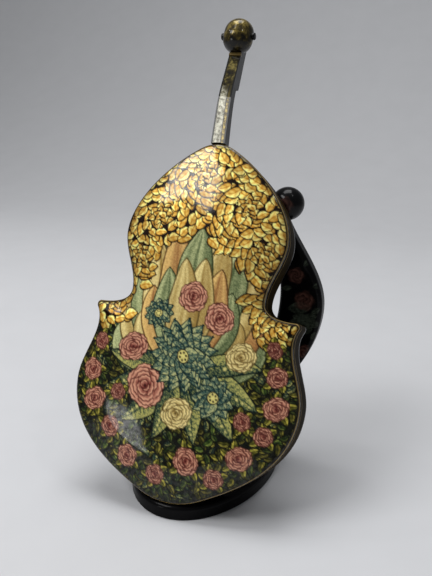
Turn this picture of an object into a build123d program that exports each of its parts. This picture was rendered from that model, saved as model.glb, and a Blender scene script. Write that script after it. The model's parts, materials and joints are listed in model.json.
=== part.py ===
from build123d import *
import os
from math import cos, hypot, radians, sin, sqrt, tan

# Violin-shaped lacquer box that leans on an upright lyre stand. Millimetres, +Z up, front towards -Y.
# The origin is the middle of the stand's underside.
# The box is drawn in its own frame first: x across, y up the body from its lower end, z out of the front,
# with z = 0 on the flat back. box_place then leans it back on the stand.

# Lean and seat of the box
lean = 22.4                      # degrees from upright
foot_height = 7.0                # lower end of the lid's front edge above the table
foot_inset = 0.2                 # that end stands this far behind the base's front edge
seat_clearance = 0.35            # between the box's foot and its seat in the base
rest_gap = 0.3                   # between the box's back and the balls it leans on

# Outline of the body: half widths, and heights above its lower end
body_length = 150.5
lower_bout_half_width = 49.4
lower_bout_height = 44.8
corner_half_width = 45.2
corner_height = 78.8
corner_round = 1.6
waist_half_width = 29.7
waist_height = 85.6
upper_bout_half_width = 36.1
upper_bout_height = 110.0
foot_slope = 25.0                # degrees that the lower end rises beside its round
foot_round = 30.0
lower_fullness = 1.14
flank_flare = 30.5               # degrees that the flank turns out towards the corner
shelf_fullness = 1.15
shoulder_fullness = 0.92
apex_slope = 29.0                # degrees that the shoulders still rise beside the top's round
apex_round = 14.0

# Tray
back_thickness = 3.0
back_round = 2.0
tray_wall_height = 8.7
wall = 3.6
lip_thickness = 1.4
lip_rise = 1.4

# Lid
seam_gap = 0.15
lid_wall_height = 1.5
lip_clearance = 0.5
lid_edge = 1.8                   # height of the lid board's rounded edge
dome_rise = 4.5
dome_centre_height = 72.0
lid_board = 2.4                  # thickness of the lid board
dome_rings = 5
edge_steps = 3                   # flats on the rounded edges of the back and the lid board

# Hinge
hinge_length = 10.0
hinge_inset = 0.4                # hinge axis inside the body's widest place
knuckle_radius = 0.9
knuckle_count = 5
knuckle_gap = 0.12
barrel_clearance = 0.2           # between the barrel and its groove in the box's side
groove_run_out = 0.6             # groove past each end of the barrel
pin_radius = 0.45
pin_running_fit = 0.05
leaf_thickness = 0.6
leaf_margin = 0.3                # lid wall left inside the leaves
nail_radius = 0.35
nail_length = 1.2
nail_pitch = 3.4
nail_count = 3
nail_margin = 0.25               # leaf left inside the nails

# Neck and head
neck_foot_width = 6.3
neck_head_width = 5.2            # at the end of the pegbox
neck_depth = 5.6                 # at the body
neck_tip_depth = 4.0             # at the pegbox
neck_set_back = 0.4              # neck front behind the lid's edge
neck_straight = 12.5             # straight run above the body before the bend
neck_bend_radius = 59.0
neck_bend = 15.0                 # degrees that the pegbox leans back from the straight run
neck_lid_gap = 0.4               # lets the lid swing past the foot of the neck
neck_dowel_radius = 1.0
neck_dowel_length = 9.0
neck_dowel_bite = 2.6            # depth of the dowel in the tray wall
pegbox_bend = 13.5               # degrees of bend where the pegbox starts
pegbox_depth = 6.4               # at the chin
pegbox_end_depth = 5.2           # under the head
chin_bend = 2.0                  # degrees of bend that the chin takes up
nut_run = 14.0                   # from the end of the bend to the nut
pegbox_tail = 8.0                # length of the pegbox past the start of the nut
pegbox_cheek = 1.0               # wall at each side of the slot
slot_floor = 3.0                 # wood left under the slot at the pegbox's end
nut_length = 1.4
nut_rise = 0.5
nut_bite = 1.0
head_radius = 6.6
head_stretch = 2.6               # length of the straight middle between the head's round ends
head_past_pegbox = 1.3           # centre of the head past the pegbox's end
head_forward = 1.3               # and in front of the pegbox's front
head_dowel_radius = 1.0
head_dowel_bite = 4.5            # depth of the dowel in the ball and in the pegbox
stud_radius = 1.55
stud_proud = 1.15
stud_bite = 3.5
stud_round = 0.5

# Stand
base_half_width = 31.2
base_half_depth = 49.0
base_height = 6.2
base_top_round = 2.2
base_foot_round = 0.6
lyre_thickness = 8.0
lyre_round = 2.0
stem_half_width = 6.5
stem_foot_half_width = 11.0
stem_foot_lean = 20.0            # degrees that the stem's sides lean in at the foot
stem_top = 45.0
tenon_half_width = 4.5
tenon_thickness = 5.0
tenon_depth = 3.6
arm_root_top = 41.0
arm_root_bottom = 26.0
arm_belly = 46.2
arm_belly_height = 75.0
arm_inside = 26.8
arm_inside_height = 80.9
arm_tip_out = 25.65
arm_tip_width = 6.5
arm_tip_height = 113.4
arm_tip_slope = 25.0             # degrees from upright of the outer edge under the ball
arm_root_rise = 12.0             # degrees that the inner edge rises from the stem
arm_dowel_radius = 1.6
arm_dowel_length = 12.0
finial_radius = 7.3
finial_lead = 2.5                # centre of the ball outside the middle of the arm's tip
finial_sink = 0.5                # depth that the ball is let into the tip
finial_dowel_radius = 1.3
finial_dowel_length = 9.0
contact_steps = 4                # steps that bring the balls up to the box's back

# Values that follow
seam_height = back_thickness + tray_wall_height
lid_floor = seam_height + seam_gap
lid_wall_thickness = wall - lip_clearance
lid_board_floor = lid_floor + lid_wall_height
box_depth = lid_board_floor + lid_edge
box_origin_y = -base_half_depth + foot_inset + box_depth * cos(radians(lean))
box_origin_z = foot_height - box_depth * sin(radians(lean))
box_place = Location((0, box_origin_y, box_origin_z), (90 - lean, 0, 0))
neck_front = box_depth - neck_set_back
bend_start = body_length + neck_straight
hinge_x = hinge_inset - lower_bout_half_width
hinge_z = seam_height + seam_gap / 2
groove_radius = knuckle_radius + barrel_clearance
leaf_end = lid_wall_thickness - leaf_margin - lower_bout_half_width
slot_width = neck_head_width - 2 * pegbox_cheek
slot_depth = pegbox_end_depth - slot_floor
finial_out = arm_tip_out + finial_lead
finial_height = arm_tip_height + finial_radius - finial_sink


def curve(start, start_degrees, end, end_degrees, fullness=1.0):
    """Cubic curve between two points that leaves and arrives in the given directions."""
    reach = fullness * hypot(end[0] - start[0], end[1] - start[1]) / 3
    leave = radians(start_degrees)
    arrive = radians(end_degrees)
    return Bezier(
        start,
        (start[0] + reach * cos(leave), start[1] + reach * sin(leave)),
        (end[0] - reach * cos(arrive), end[1] - reach * sin(arrive)),
        end,
    )


def body_face(inset=0.0, scale=1.0):
    """Violin outline, drawn in by inset and then scaled about the middle of the dome."""

    def at(x, y):
        return (scale * x, dome_centre_height + scale * (y - dome_centre_height))

    def round_point(centre_x, centre_y, radius, degrees):
        turn = radians(degrees)
        return at(centre_x + radius * cos(turn), centre_y + radius * sin(turn))

    foot_end, foot_mid, foot_side = [
        round_point(0, foot_round, foot_round - inset, degrees - 90) for degrees in (0, foot_slope / 2, foot_slope)
    ]
    lower_bout = at(lower_bout_half_width - inset, lower_bout_height)
    tip_x = corner_half_width - corner_round - inset
    tip_y = corner_height - corner_round - inset
    corner_low, corner_mid, corner_high = [
        round_point(tip_x, tip_y, corner_round, degrees) for degrees in (-flank_flare, 45 - flank_flare / 2, 90)
    ]
    waist = at(waist_half_width - inset, waist_height)
    upper_bout = at(upper_bout_half_width - inset, upper_bout_height)
    apex_side, apex_mid, apex = [
        round_point(0, body_length - apex_round, apex_round - inset, 90 - degrees)
        for degrees in (apex_slope, apex_slope / 2, 0)
    ]
    half = [
        ThreePointArc(foot_end, foot_mid, foot_side),
        curve(foot_side, foot_slope, lower_bout, 90, lower_fullness),
        curve(lower_bout, 90, corner_low, 90 - flank_flare),
        ThreePointArc(corner_low, corner_mid, corner_high),
        curve(corner_high, 180, waist, 90, shelf_fullness),
        curve(waist, 90, upper_bout, 90),
        curve(upper_bout, 90, apex_side, 180 - apex_slope, shoulder_fullness),
        ThreePointArc(apex_side, apex_mid, apex),
    ]
    other_half = [edge.mirror(Plane.YZ) for edge in reversed(half)]
    return Face(Wire(half + other_half))


def body_block(floor, top, inset=0.0):
    return Pos(0, 0, floor) * extrude(body_face(inset), top - floor)


def body_band(floor, top, outer_inset, inner_inset):
    return body_block(floor, top, outer_inset) - body_block(floor, top, inner_inset)


def stack(rings):
    """Solid through violin outlines, each given as inset, scale and height."""
    return loft([Pos(0, 0, height) * body_face(inset, scale) for inset, scale, height in rings], ruled=True)


def quarter_round(radius):
    """Inset and rise of the steps of a rounded edge, from its upright start to its level end."""
    turns = [radians(90 * step / edge_steps) for step in range(edge_steps + 1)]
    return [(radius * (1 - cos(turn)), radius * sin(turn)) for turn in turns]


def back_panel():
    rings = [(inset, 1.0, back_round - rise) for inset, rise in reversed(quarter_round(back_round))]
    return stack(rings + [(0.0, 1.0, back_thickness)])


def tray_wall():
    band = body_band(back_thickness, seam_height, 0, wall)
    leaf = leaf_recess(seam_height - leaf_thickness)
    return band - hinge_groove() - leaf - nails(seam_height, -1) - neck_dowel()


def tray_lip():
    return body_band(back_thickness, seam_height + lip_rise, wall, wall + lip_thickness)


def dome_height(scale):
    return dome_rise * (1 - scale**2)


def lid_panel():
    outer = [(inset, 1.0, lid_board_floor + rise) for inset, rise in quarter_round(lid_edge)]
    inner = [(lid_wall_thickness, 1.0, lid_board_floor)]
    for ring in range(1, dome_rings + 1):
        scale = 1 - ring / (dome_rings + 1)
        outer.append((lid_edge, scale, box_depth + dome_height(scale)))
        inner.append((lid_wall_thickness, scale, box_depth + dome_height(scale) - lid_board))
    return stack(outer) - stack(inner)


def lid_wall():
    band = body_band(lid_floor, lid_board_floor, 0, lid_wall_thickness)
    return band - hinge_groove() - leaf_recess(lid_floor) - nails(lid_floor, 1)


def box_between(low, high):
    size = [b - a for a, b in zip(low, high)]
    return Pos(*low) * Box(*size, align=(Align.MIN, Align.MIN, Align.MIN))


def leaf_recess(floor):
    low = (hinge_x, lower_bout_height - hinge_length / 2, floor)
    high = (leaf_end, lower_bout_height + hinge_length / 2, floor + leaf_thickness)
    return box_between(low, high)


def barrel(radius, start, end):
    middle = lower_bout_height - hinge_length / 2 + (start + end) / 2
    return Pos(hinge_x, middle, hinge_z) * Rot(90, 0, 0) * Cylinder(radius, end - start)


def hinge_groove():
    return barrel(groove_radius, -groove_run_out, hinge_length + groove_run_out)


def hinge_leaf(floor, first_knuckle, bore_radius, face_z, nail_side):
    """Leaf with every second knuckle, starting at first_knuckle, and holes for its nails."""
    pitch = hinge_length / knuckle_count
    leaf = leaf_recess(floor)
    for index in range(knuckle_count):
        start = index * pitch
        if index % 2 == first_knuckle:
            leaf += barrel(knuckle_radius, start + knuckle_gap / 2, start + pitch - knuckle_gap / 2)
        else:
            leaf -= barrel(groove_radius, start - knuckle_gap / 2, start + pitch + knuckle_gap / 2)
    return leaf - barrel(bore_radius, 0, hinge_length) - nails(face_z, nail_side)


def hinge_leaf_tray():
    return hinge_leaf(seam_height - leaf_thickness, 0, pin_radius, seam_height, -1)


def hinge_leaf_lid():
    return hinge_leaf(lid_floor, 1, pin_radius + pin_running_fit, lid_floor, 1)


def hinge_pin():
    return barrel(pin_radius, 0, hinge_length)


def nails(face_z, side):
    """Row of nails that start flush with a leaf's face and point to the given side of the seam."""
    centre = (leaf_end - nail_margin - nail_radius, lower_bout_height, face_z + side * nail_length / 2)
    places = GridLocations(0, nail_pitch, 1, nail_count)
    return Part() + [Pos(*centre) * place * Cylinder(nail_radius, nail_length) for place in places]


def bend_point(degrees, depth=0.0):
    """Point y, z on the bent part of the neck, at a depth behind its front."""
    radius = neck_bend_radius - depth
    y = bend_start + radius * sin(radians(degrees))
    z = neck_front - neck_bend_radius + radius * cos(radians(degrees))
    return (y, z)


def neck_taper():
    """Block that narrows from the neck's foot to the end of the pegbox."""
    foot, end = body_length - wall, past_nut(pegbox_tail, 0)[0] + head_radius
    wide, narrow = neck_foot_width / 2, neck_head_width / 2
    sides = Polyline((-wide, foot), (wide, foot), (narrow, end), (-narrow, end), close=True)
    return extrude(make_face(sides), neck_bend_radius, both=True)


def side_profile(edges):
    """Closed face in the plane x = 0, pulled out to the neck's tapered sides."""
    return extrude(Plane.YZ * make_face(edges), neck_foot_width / 2, both=True) & neck_taper()


def bent_edge(first, last, depth):
    places = (first, (first + last) / 2, last)
    return ThreePointArc(*[bend_point(place, depth) for place in places])


def neck():
    foot = body_length - wall
    front_low = (foot, neck_front)
    back_low = (foot, neck_front - neck_depth)
    edges = [
        Line(front_low, bend_point(0)),
        bent_edge(0, pegbox_bend, 0),
        Line(bend_point(pegbox_bend), bend_point(pegbox_bend, neck_tip_depth)),
        curve(bend_point(pegbox_bend, neck_tip_depth), 180 - pegbox_bend, back_low, 180),
        Line(back_low, front_low),
    ]
    tray = body_block(0, lid_floor)
    lid_swing = body_block(seam_height, box_depth + dome_rise, -neck_lid_gap)
    return side_profile(edges) - tray - lid_swing - neck_dowel()


def neck_dowel():
    low = body_length - neck_dowel_bite
    middle = (0, low + neck_dowel_length / 2, (seam_height + neck_front - neck_depth) / 2)
    return Pos(*middle) * Rot(90, 0, 0) * Cylinder(neck_dowel_radius, neck_dowel_length)


def past_nut(along, depth):
    """Point y, z on the straight end of the pegbox, past the nut and behind the front."""
    start = bend_point(neck_bend)
    turn = radians(neck_bend)
    run = nut_run + along
    return (start[0] + run * cos(turn) - depth * sin(turn), start[1] - run * sin(turn) - depth * cos(turn))


def pegbox_block():
    chin = bend_point(pegbox_bend + chin_bend, pegbox_depth)
    end_front = past_nut(pegbox_tail, 0)
    end_back = past_nut(pegbox_tail, pegbox_end_depth)
    edges = [
        bent_edge(pegbox_bend, neck_bend, 0),
        Line(bend_point(neck_bend), end_front),
        Line(end_front, end_back),
        curve(end_back, 180 - neck_bend, chin, 180 - neck_bend),
        Line(chin, bend_point(pegbox_bend, neck_tip_depth)),
        Line(bend_point(pegbox_bend, neck_tip_depth), bend_point(pegbox_bend)),
    ]
    return side_profile(edges)


def past_nut_place(along, depth):
    y, z = past_nut(along, depth)
    return Location((0, y, z), (-neck_bend, 0, 0))


def pegbox():
    low = (-slot_width / 2, 0, -slot_depth)
    high = (slot_width / 2, pegbox_tail, slot_depth)
    slot = past_nut_place(nut_length, 0) * box_between(low, high)
    return pegbox_block() - slot - nut() - head_solid() - head_dowel()


def nut():
    low = (-neck_foot_width / 2, 0, -nut_bite)
    high = (neck_foot_width / 2, nut_length, nut_rise)
    return past_nut_place(0, 0) * box_between(low, high) & neck_taper()


def head_place():
    return past_nut_place(pegbox_tail + head_past_pegbox, -head_forward)


def head_solid():
    """Ball drawn out a little along the pegbox."""
    half = head_stretch / 2
    slant = head_radius * sqrt(0.5)
    end, shoulder = (half + head_radius, 0), (half, head_radius)
    edges = [
        ThreePointArc(end, (half + slant, slant), shoulder),
        Line(shoulder, (-half, head_radius)),
        ThreePointArc((-half, head_radius), (-half - slant, slant), (-half - head_radius, 0)),
        Line((-half - head_radius, 0), end),
    ]
    return head_place() * revolve(Plane.YZ * make_face(edges), Axis.Y)


def head_dowel():
    """Dowel in the solid floor under the pegbox's slot, half of it past the ball's surface."""
    depth = slot_depth + slot_floor / 2
    ball_reach = head_stretch / 2 + sqrt(head_radius**2 - (depth + head_forward) ** 2)
    middle = past_nut_place(pegbox_tail + head_past_pegbox - ball_reach, depth)
    return middle * Rot(90, 0, 0) * Cylinder(head_dowel_radius, 2 * head_dowel_bite)


def head_ball():
    return head_solid() - head_stud(-1) - head_stud(1) - head_dowel()


def head_stud(side):
    length = stud_proud + stud_bite
    stud = fillet(Cylinder(stud_radius, length).edges().group_by(Axis.Z)[-1], stud_round)
    middle = side * (head_radius + stud_proud - length / 2)
    return head_place() * Pos(middle, 0, 0) * Rot(0, side * 90, 0) * stud


def lean_contact():
    """Distance of the lyre's middle plane behind the origin, with its balls rest_gap from the box."""
    back = box_place * back_panel()
    turn = radians(lean)
    drop = (finial_height - box_origin_z) * tan(turn)
    y = box_origin_y + drop + (finial_radius + rest_gap) / cos(turn)
    for _ in range(contact_steps):
        ball = Pos(finial_out, y, finial_height) * Sphere(finial_radius)
        y -= back.distance_to(ball) - rest_gap
    return y


lyre_y = lean_contact()


def upright(edges):
    """Board of the lyre from an outline in x and z, in the middle plane of the stand's upright."""
    face = Plane.XZ * make_face(edges)
    return Pos(0, lyre_y, 0) * extrude(face, lyre_thickness / 2, both=True)


def base():
    slab = extrude(Ellipse(base_half_width, base_half_depth), base_height)
    slab = fillet(slab.edges().group_by(Axis.Z)[-1], base_top_round)
    slab = fillet(slab.edges().group_by(Axis.Z)[0], base_foot_round)
    seat = box_place * body_block(-seat_clearance, box_depth + base_half_depth, -seat_clearance)
    return slab - seat - tenon()


def tenon():
    low = (-tenon_half_width, lyre_y - tenon_thickness / 2, base_height - tenon_depth)
    high = (tenon_half_width, lyre_y + tenon_thickness / 2, base_height)
    return box_between(low, high)


def lyre_stem():
    foot_right = (stem_foot_half_width, base_height)
    foot_left = (-stem_foot_half_width, base_height)
    right_low = (stem_half_width, arm_root_bottom)
    left_low = (-stem_half_width, arm_root_bottom)
    right_top = (stem_half_width, arm_root_top)
    left_top = (-stem_half_width, arm_root_top)
    column = upright(
        [
            Line(foot_left, foot_right),
            curve(foot_right, 90 + stem_foot_lean, right_low, 90),
            Line(right_low, right_top),
            ThreePointArc(right_top, (0, stem_top), left_top),
            Line(left_top, left_low),
            curve(left_low, -90, foot_left, -90 - stem_foot_lean),
        ]
    )
    return column + tenon() - arm_dowels()


def arm_block():
    root_low = (stem_half_width, arm_root_bottom)
    root_high = (stem_half_width, arm_root_top)
    inside = (arm_inside, arm_inside_height)
    tip_inner = (arm_tip_out - arm_tip_width / 2, arm_tip_height)
    tip_outer = (arm_tip_out + arm_tip_width / 2, arm_tip_height)
    belly = (arm_belly, arm_belly_height)
    board = upright(
        [
            Line(root_low, root_high),
            curve(root_high, arm_root_rise, inside, 90),
            curve(inside, 90, tip_inner, 90),
            Line(tip_inner, tip_outer),
            curve(tip_outer, arm_tip_slope - 90, belly, -90),
            curve(belly, -90, root_low, 180),
        ]
    )
    rims = [
        edge
        for face in board.faces().sort_by(Axis.Y)[:: len(board.faces()) - 1]
        for edge in face.edges()
        if edge.geom_type != GeomType.LINE
    ]
    return fillet(rims, lyre_round)


def on_side(side, shape):
    return shape if side > 0 else mirror(shape, about=Plane.YZ)


def lyre_arm(side):
    arm = arm_block() - finial_solid() - finial_dowel(1) - arm_dowel(1)
    return on_side(side, arm)


def arm_dowel(side):
    middle = (side * stem_half_width, lyre_y, (arm_root_top + arm_root_bottom) / 2)
    return Pos(*middle) * Rot(0, 90, 0) * Cylinder(arm_dowel_radius, arm_dowel_length)


def arm_dowels():
    return arm_dowel(-1) + arm_dowel(1)


def finial_solid():
    return Pos(finial_out, lyre_y, finial_height) * Sphere(finial_radius)


def finial_dowel(side):
    middle = (side * arm_tip_out, lyre_y, arm_tip_height)
    return Pos(*middle) * Cylinder(finial_dowel_radius, finial_dowel_length)


def finial_dowels():
    return finial_dowel(-1) + finial_dowel(1)


def finial(side):
    return on_side(side, finial_solid() - finial_dowel(1))


box_nodes = {
    "back_panel": back_panel(),
    "tray_wall": tray_wall(),
    "tray_lip": tray_lip(),
    "hinge_leaf_tray": hinge_leaf_tray(),
    "hinge_pin": hinge_pin(),
    "hinge_nails_tray": nails(seam_height, -1),
    "neck": neck(),
    "neck_dowel": neck_dowel(),
    "pegbox": pegbox(),
    "nut": nut(),
    "head_ball": head_ball(),
    "head_dowel": head_dowel(),
    "head_stud_left": head_stud(-1),
    "head_stud_right": head_stud(1),
    "lid_panel": lid_panel(),
    "lid_wall": lid_wall(),
    "hinge_leaf_lid": hinge_leaf_lid(),
    "hinge_nails_lid": nails(lid_floor, 1),
}

stand_nodes = {
    "base": base(),
    "lyre_stem": lyre_stem(),
    "lyre_arm_left": lyre_arm(-1),
    "lyre_arm_right": lyre_arm(1),
    "arm_dowels": arm_dowels(),
    "finial_left": finial(-1),
    "finial_right": finial(1),
    "finial_dowels": finial_dowels(),
}

os.makedirs("parts", exist_ok=True)
for name, shape in box_nodes.items():
    export_step(box_place * shape, f"parts/{name}.step")
for name, shape in stand_nodes.items():
    export_step(shape, f"parts/{name}.step")
print("lyre middle plane at y =", round(lyre_y, 2), "box depth", round(box_depth, 2))
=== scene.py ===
import json
from math import atan2, cos, hypot, pi, radians, sin

import bpy
import numpy as np
from mathutils import Matrix, Vector, kdtree
from mathutils.geometry import delaunay_2d_cdt


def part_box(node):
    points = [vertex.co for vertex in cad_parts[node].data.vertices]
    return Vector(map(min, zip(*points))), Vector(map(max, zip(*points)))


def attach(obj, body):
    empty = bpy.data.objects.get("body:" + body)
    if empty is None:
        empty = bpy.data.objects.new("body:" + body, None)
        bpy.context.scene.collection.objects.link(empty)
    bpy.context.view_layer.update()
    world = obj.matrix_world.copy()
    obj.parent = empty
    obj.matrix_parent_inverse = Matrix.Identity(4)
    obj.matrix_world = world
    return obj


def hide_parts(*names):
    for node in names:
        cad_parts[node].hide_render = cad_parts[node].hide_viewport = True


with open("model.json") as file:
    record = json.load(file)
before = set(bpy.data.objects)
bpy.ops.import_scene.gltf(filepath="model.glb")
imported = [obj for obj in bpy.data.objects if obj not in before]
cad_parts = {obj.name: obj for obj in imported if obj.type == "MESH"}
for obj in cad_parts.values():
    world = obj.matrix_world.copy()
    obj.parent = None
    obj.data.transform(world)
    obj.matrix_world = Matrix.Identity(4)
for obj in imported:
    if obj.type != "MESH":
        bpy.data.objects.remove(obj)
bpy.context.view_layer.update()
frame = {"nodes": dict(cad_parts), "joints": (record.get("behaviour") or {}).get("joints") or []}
nodes = frame["nodes"]
mm = 0.001
print("frame loaded:", len(nodes), "nodes")


# The box leans back. Its own frame: x across, y up the front, z out of the front, from the foot of the back.
hingeAt = Vector((-49.0, 44.8, 11.775)) * mm              # hinge line in the box's own frame
lidHinge = next(joint for joint in frame["joints"] if joint["name"] == "lid_hinge")
boxUp = -Vector(lidHinge["axis"])
boxAcross = Vector((1, 0, 0))
boxOut = boxAcross.cross(boxUp)
boxTurn = Matrix((boxAcross, boxUp, boxOut)).transposed()
boxOrigin = Vector(lidHinge["pos_m"]) - boxTurn @ hingeAt
boxPlace = Matrix.Translation(boxOrigin) @ boxTurn.to_4x4()


class Value:                                              # a shader socket, used in Python expressions
    def __init__(self, finish, socket):
        self.finish, self.socket = finish, socket

    def maths(self, operation, *terms):
        return self.finish.node("ShaderNodeMath", {"operation": operation}, dict(enumerate(terms)))

    def __add__(self, other):
        return self.maths("ADD", self, other)

    def __sub__(self, other):
        return self.maths("SUBTRACT", self, other)

    def __rsub__(self, other):
        return self.maths("SUBTRACT", other, self)

    def __mul__(self, other):
        return self.maths("MULTIPLY", self, other)

    def __truediv__(self, other):
        return self.maths("DIVIDE", self, other)

    def __rtruediv__(self, other):
        return self.maths("DIVIDE", other, self)

    def __pow__(self, other):
        return self.maths("POWER", self, other)

    def __rpow__(self, other):
        return self.maths("POWER", other, self)

    def __abs__(self):
        return self.maths("ABSOLUTE", self)

    __radd__, __rmul__ = __add__, __mul__

    def least(self, other):
        return self.maths("MINIMUM", self, other)

    def sine(self):
        return self.maths("SINE", self)

    def between(self, low, high):                         # eases from 0 at low to 1 at high, either way round
        return self.finish.node("ShaderNodeMapRange", {"interpolation_type": "SMOOTHSTEP"},
                                {"Value": self, "From Min": low, "From Max": high})


class Finish:                                             # one procedural material
    def __init__(self, name):
        self.material = bpy.data.materials.new(name)
        self.material.use_nodes = True
        self.tree = self.material.node_tree
        self.tree.nodes.clear()

    def node(self, kind, settings=None, sockets=None, result=0):
        made = self.tree.nodes.new(kind)
        for key, setting in (settings or {}).items():
            if key == "stops":
                while len(made.color_ramp.elements) < len(setting):
                    made.color_ramp.elements.new(1.0)
                for element, (place, colour) in zip(made.color_ramp.elements, setting):
                    element.position, element.color = place, colour
            else:
                setattr(made, key, setting)
        for key, value in (sockets or {}).items():
            if isinstance(value, Value):
                self.tree.links.new(value.socket, made.inputs[key])
            else:
                made.inputs[key].default_value = value
        return Value(self, made.outputs[result] if made.outputs else None)

    def place(self):                                      # a point of the surface at rest, in metres
        return self.node("ShaderNodeTexCoord", None, None, "Object")

    def axes(self, vector):
        return [self.node("ShaderNodeSeparateXYZ", None, {0: vector}, axis) for axis in "XYZ"]

    def along(self, vector, direction):                   # how far a vector reaches along a direction
        return self.node("ShaderNodeVectorMath", {"operation": "DOT_PRODUCT"},
                         {0: vector, 1: direction}, "Value")

    def boxAxes(self):                                    # millimetres in the box's own frame
        place = self.place()
        return [(self.along(place, side) - side.dot(boxOrigin)) / mm for side in (boxAcross, boxUp, boxOut)]

    def facing(self, direction):                          # 1 where the surface at rest looks that way
        normal = self.node("ShaderNodeNewGeometry", None, None, "Normal")
        spaces = {"vector_type": "NORMAL", "convert_from": "WORLD", "convert_to": "OBJECT"}
        own = self.node("ShaderNodeVectorTransform", spaces, {0: normal})
        return self.along(own, direction)

    def noise(self, place, size, detail=2.0, roughness=0.5):    # size of one cloud in millimetres
        return self.node("ShaderNodeTexNoise", None, {"Vector": place, "Scale": 1 / (size * mm),
                                                      "Detail": detail, "Roughness": roughness})

    def mix(self, factor, low, high, blend="MIX"):
        return self.node("ShaderNodeMix", {"data_type": "RGBA", "blend_type": blend},
                         {0: factor, 6: low, 7: high}, 2)

    def ramp(self, value, stops):
        return self.node("ShaderNodeValToRGB", {"stops": stops}, {0: value})

    def bump(self, height, strength, distance):
        return self.node("ShaderNodeBump", None, {"Strength": strength, "Distance": distance * mm,
                                                  "Height": height})

    def surface(self, sockets):
        shader = self.node("ShaderNodeBsdfPrincipled", None, sockets)
        self.node("ShaderNodeOutputMaterial", None, {"Surface": shader})
        return self.material


def straight(level):                                      # screen level to light, elementwise
    level = np.asarray(level, float)
    return np.where(level <= 0.04045, level / 12.92, ((level + 0.055) / 1.055) ** 2.4)


def tint(red, green, blue):                               # a colour as it shows on a screen, 0 to 255
    return (*(float(part) for part in straight(np.array((red, green, blue)) / 255)), 1.0)


def dress(material, *names):
    for name in names:
        nodes[name].data.materials.clear()
        nodes[name].data.materials.append(material)


blackCoat = {"Coat Weight": 0.35, "Coat Roughness": 0.03, "Coat IOR": 1.4, "Specular IOR Level": 0.05}
neckCoat = {"Coat Weight": 0.55, "Coat Roughness": 0.05, "Coat IOR": 1.4, "Specular IOR Level": 0.1}
dimCoat = {"Coat Weight": 0.15, "Coat Roughness": 0.05, "Coat IOR": 1.4, "Specular IOR Level": 0.03}
satinCoat = {"Coat Weight": 0.0, "Specular IOR Level": 0.01}

# Sizes of the cloud, grain, brush marks and dust in millimetres
lacquerLook = {"cloud": 14, "spread": 0.16, "grain": 1.6, "grainDepth": 0.1, "brush": 22, "dust": 0.5,
               "dustCover": 0.15, "dustColour": tint(70, 66, 62)}
blackLook = {"dark": tint(5, 5, 6), "light": tint(12, 11, 12)}
redLook = {"dark": tint(136, 17, 12), "light": tint(162, 25, 16)}


def lacquered(finish, colour, roughness=0.32, metallic=0.0, grain=0.05, coat=blackCoat):
    place = finish.place()
    cloud, spread = finish.noise(place, lacquerLook["cloud"], 3), lacquerLook["spread"]
    bump = finish.bump(finish.noise(place, lacquerLook["grain"], 3), grain, lacquerLook["grainDepth"])
    sockets = {"Base Color": colour, "Roughness": cloud * spread + (roughness - spread / 2),
               "Metallic": metallic, "Normal": bump}
    return finish.surface(sockets | coat)


def lacquerColour(finish, look):                          # brushed coats, a little uneven, with fine dust
    place = finish.place()
    brush = finish.noise(place, lacquerLook["brush"], 4).between(0.3, 0.75)
    dust = finish.noise(place, lacquerLook["dust"], 1).between(0.68, 0.78) * lacquerLook["dustCover"]
    return finish.mix(dust, finish.mix(brush, look["dark"], look["light"]), lacquerLook["dustColour"])


def plainLacquer(name, look, roughness=0.32, coat=blackCoat):
    finish = Finish(name)
    return lacquered(finish, lacquerColour(finish, look), roughness, coat=coat)


sideLook = {"dark": tint(26, 20, 9), "light": tint(54, 42, 18), "line": tint(122, 100, 50),
            "lineAt": 10.9, "lineInner": 0.18, "lineOuter": 0.315, "wear": 3}


def sideLacquer():                                        # ribs: brown-black, a thin gold line below the seam
    finish = Finish("side_lacquer")
    out = finish.boxAxes()[2]
    line = abs(out - sideLook["lineAt"]).between(sideLook["lineOuter"], sideLook["lineInner"])
    worn = line * finish.noise(finish.place(), sideLook["wear"], 4).between(0.28, 0.45)
    colour = finish.mix(worn, lacquerColour(finish, sideLook), sideLook["line"])
    return lacquered(finish, colour, 0.5, worn * 0.7, 0.1, satinCoat)


def backLacquer():                                        # black outside, red on the face inside the tray
    finish = Finish("back_lacquer")
    inside = finish.facing(boxOut).between(0.5, 0.8)
    colour = finish.mix(inside, lacquerColour(finish, blackLook), lacquerColour(finish, redLook))
    return lacquered(finish, colour, 0.34)


redLacquer = plainLacquer("red_lacquer", redLook, 0.36)
dress(redLacquer, "tray_lip")
dress(sideLacquer(), "tray_wall", "lid_wall")
dress(backLacquer(), "back_panel")
dress(plainLacquer("black_lacquer", blackLook), "lyre_stem", "head_stud_left", "head_stud_right")
dress(plainLacquer("base_lacquer", blackLook, coat=dimCoat), "base")
print("lacquer on the tray and the base")


brassLook = {"dull": tint(42, 32, 20), "bright": tint(124, 94, 48), "tarnish": 2.4, "scratch": 0.35}
woodLook = {"early": tint(214, 184, 138), "late": tint(178, 140, 92), "rings": 71.4, "bend": 2.0}


def brass():
    finish = Finish("brass")
    place = finish.place()
    tarnish = finish.noise(place, brassLook["tarnish"], 4, 0.6).between(0.3, 0.7)
    scratch = finish.noise(place, brassLook["scratch"], 2)
    return finish.surface({"Base Color": finish.mix(tarnish, brassLook["dull"], brassLook["bright"]),
                           "Metallic": 1.0, "Roughness": 0.46 - tarnish * 0.2,
                           "Normal": finish.bump(scratch, 0.15, 0.05)})


def plainWood():
    finish = Finish("plain_wood")
    bands = {"Vector": finish.place(), "Scale": woodLook["rings"], "Distortion": woodLook["bend"]}
    wave = finish.node("ShaderNodeTexWave", {"wave_type": "BANDS", "bands_direction": "X"}, bands, "Fac")
    return finish.surface({"Base Color": finish.mix(wave, woodLook["early"], woodLook["late"]),
                           "Roughness": wave * 0.1 + 0.5, "Normal": finish.bump(wave, 0.1, 0.05)})


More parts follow.
